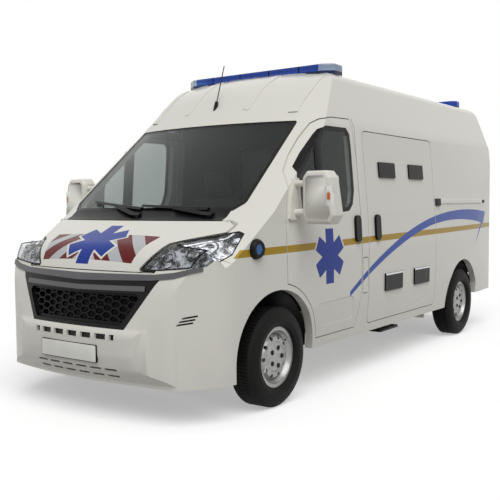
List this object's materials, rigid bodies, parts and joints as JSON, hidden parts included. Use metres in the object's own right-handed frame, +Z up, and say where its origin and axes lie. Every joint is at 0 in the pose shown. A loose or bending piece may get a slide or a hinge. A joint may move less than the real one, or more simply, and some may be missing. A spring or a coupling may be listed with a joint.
{
  "type": "ambulance",
  "caption": "High-roof panel-van ambulance with opening cab doors, rear doors and bonnet, sliding side doors, steered front wheels and blue roof light bars.",
  "frame": {"origin": "on the ground, at the bottom centre of the bounding box", "axes": "+X forward, +Y to the vehicle's left, +Z up"},
  "size_m": [5.437, 2.674, 2.51],
  "materials": {
    "white_paint": "gloss",
    "white_plastic": "gloss",
    "tinted_glass": "gloss",
    "clear_lens": "gloss",
    "blue_lens": "gloss",
    "red_lens": "gloss",
    "bright_chrome": "polished",
    "black_trim": "matte",
    "tyre_rubber": "matte",
    "wheel_silver": "satin",
    "chassis_black": "satin",
    "bare_steel": "satin",
    "seat_fabric": "matte",
    "grey_plastic": "matte"
  },
  "bodies": {
    "body": {"floor_pan": "white_paint", "wheel_housings": "black_trim", "bulkhead": "white_plastic", "cab_frame": "white_paint", "cowl": "black_trim", "wipers": "black_trim", "light_bar_mounts": "black_trim", "roof_panel": "white_paint", "front_fenders": "white_paint", "front_bumper": "white_plastic", "rear_bumper": "white_plastic", "grille": "black_trim", "grille_bars": "bright_chrome", "headlamp_lenses": "clear_lens", "headlamp_bowls": "bright_chrome", "tail_lamps": "red_lens", "windscreen": "tinted_glass", "side_vents": "black_trim", "slide_handles": "black_trim", "slide_rails": "white_paint", "fender_beacons": "blue_lens", "light_bar_front": "blue_lens", "light_bar_rear": "blue_lens", "antenna": "black_trim", "seats": "seat_fabric", "dashboard": "grey_plastic", "engine_block": "chassis_black", "front_axle": "chassis_black", "rear_axle": "chassis_black", "fuel_tank": "grey_plastic", "exhaust": "bare_steel", "body_side_left": "white_paint", "body_side_right": "white_paint", "sliding_door_left": "white_paint", "sliding_door_right": "white_paint"},
    "bonnet": {"bonnet": "white_paint"},
    "fuel_flap": {"fuel_flap": "white_paint"},
    "front_door_left": {"front_door_left": "white_paint", "door_glass_left": "tinted_glass", "door_handle_left": "black_trim", "mirror_left": "white_plastic"},
    "rear_door_left": {"rear_door_left": "white_paint", "rear_glass_left": "tinted_glass"},
    "knuckle_left": {"knuckle_left": "chassis_black"},
    "wheel_front_left": {"wheel_front_left": "wheel_silver", "tyre_front_left": "tyre_rubber"},
    "wheel_rear_left": {"wheel_rear_left": "wheel_silver", "tyre_rear_left": "tyre_rubber"},
    "front_door_right": {"front_door_right": "white_paint", "door_glass_right": "tinted_glass", "door_handle_right": "black_trim", "mirror_right": "white_plastic"},
    "rear_door_right": {"rear_door_right": "white_paint", "rear_glass_right": "tinted_glass"},
    "knuckle_right": {"knuckle_right": "chassis_black"},
    "wheel_front_right": {"wheel_front_right": "wheel_silver", "tyre_front_right": "tyre_rubber"},
    "wheel_rear_right": {"wheel_rear_right": "wheel_silver", "tyre_rear_right": "tyre_rubber"},
    "steering_wheel": {"steering_wheel": "black_trim"}
  },
  "joints": [
    {"name": "front_door_left_hinge", "type": "hinge", "parent": "body", "child": "front_door_left", "pos_m": [1.686, 1.0065, 1.195], "axis": [0, 0, -1], "range_deg": [0, 65]},
    {"name": "rear_door_left_hinge", "type": "hinge", "parent": "body", "child": "rear_door_left", "pos_m": [-2.7085, 0.8435, 0.76], "axis": [0, 0, -1], "range_deg": [0, 180]},
    {"name": "steer_left", "type": "hinge", "parent": "body", "child": "knuckle_left", "pos_m": [1.7705, 0.785, 0.341], "axis": [0, 0, 1], "range_deg": [-33, 33]},
    {"name": "wheel_front_left_spin", "type": "hinge", "parent": "knuckle_left", "child": "wheel_front_left", "pos_m": [1.7705, 0.905, 0.341], "axis": [0, 1, 0], "continuous": true},
    {"name": "wheel_rear_left_spin", "type": "hinge", "parent": "body", "child": "wheel_rear_left", "pos_m": [-1.6795, 0.895, 0.341], "axis": [0, 1, 0], "continuous": true},
    {"name": "front_door_right_hinge", "type": "hinge", "parent": "body", "child": "front_door_right", "pos_m": [1.686, -1.0065, 1.195], "axis": [0, 0, 1], "range_deg": [0, 65]},
    {"name": "rear_door_right_hinge", "type": "hinge", "parent": "body", "child": "rear_door_right", "pos_m": [-2.7085, -0.8435, 0.76], "axis": [0, 0, 1], "range_deg": [0, 180]},
    {"name": "steer_right", "type": "hinge", "parent": "body", "child": "knuckle_right", "pos_m": [1.7705, -0.785, 0.341], "axis": [0, 0, 1], "range_deg": [-33, 33]},
    {"name": "wheel_front_right_spin", "type": "hinge", "parent": "knuckle_right", "child": "wheel_front_right", "pos_m": [1.7705, -0.905, 0.341], "axis": [0, 1, 0], "continuous": true},
    {"name": "wheel_rear_right_spin", "type": "hinge", "parent": "body", "child": "wheel_rear_right", "pos_m": [-1.6795, -0.895, 0.341], "axis": [0, 1, 0], "continuous": true},
    {"name": "bonnet_hinge", "type": "hinge", "parent": "body", "child": "bonnet", "pos_m": [2.06329, 0.813, 1.272], "axis": [0, -1, 0], "range_deg": [0, 60]},
    {"name": "fuel_flap_hinge", "type": "hinge", "parent": "body", "child": "fuel_flap", "pos_m": [0.577, 1.018, 0.72], "axis": [0, 0, -1], "range_deg": [0, 90]},
    {"name": "steering_wheel_turn", "type": "hinge", "parent": "body", "child": "steering_wheel", "pos_m": [1.1805, 0.48, 1.12], "axis": [-0.788, 0, 0.6157], "range_deg": [-462, 462]}
  ],
  "couplings": [
    {"joint": "steer_right", "follows": "steer_left", "ratio": 1},
    {"joint": "steering_wheel_turn", "follows": "steer_left", "ratio": 14}
  ]
}
